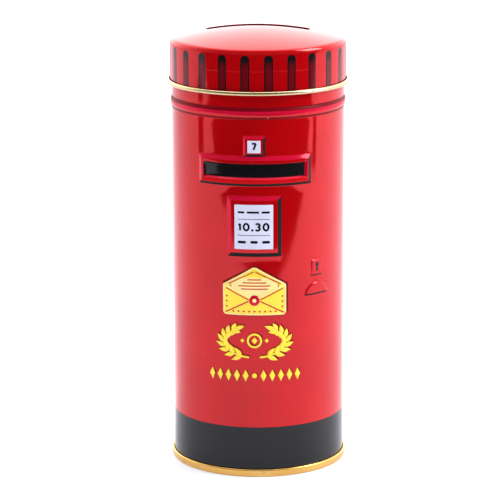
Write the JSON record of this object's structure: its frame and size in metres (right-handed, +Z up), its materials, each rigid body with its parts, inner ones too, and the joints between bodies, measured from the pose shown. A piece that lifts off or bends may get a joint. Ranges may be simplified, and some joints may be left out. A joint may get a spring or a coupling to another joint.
{
  "type": "tin money box",
  "caption": "Cylindrical red tin money box with embossed panels, a gold double-seamed base and a pull-off domed lid with a coin slot.",
  "frame": {"origin": "centre of the face the tin stands on, the flat land on the base's double seam", "axes": "+Z up along the tin's axis, the front with the printed panels faces -Y, +X to the right as seen from the front"},
  "size_m": [0.07, 0.07, 0.1693],
  "materials": {
    "body_lacquer": "gloss red lacquer on tinplate",
    "lid_lacquer": "gloss red lacquer on tinplate",
    "gold_lacquer": "gold lacquer over bright tinplate",
    "black_print": "printed black under gloss varnish",
    "white_print": "printed white under gloss varnish",
    "yellow_print": "printed golden yellow under gloss varnish"
  },
  "bodies": {
    "box": {"body_shell": "body_lacquer", "base_end": "gold_lacquer"},
    "lid": {"lid_cap": "lid_lacquer"}
  },
  "joints": [
    {"name": "lid_slide", "type": "slide", "parent": "box", "child": "lid", "axis": [0, 0, 1], "range_m": [0, 0.06]}
  ]
}
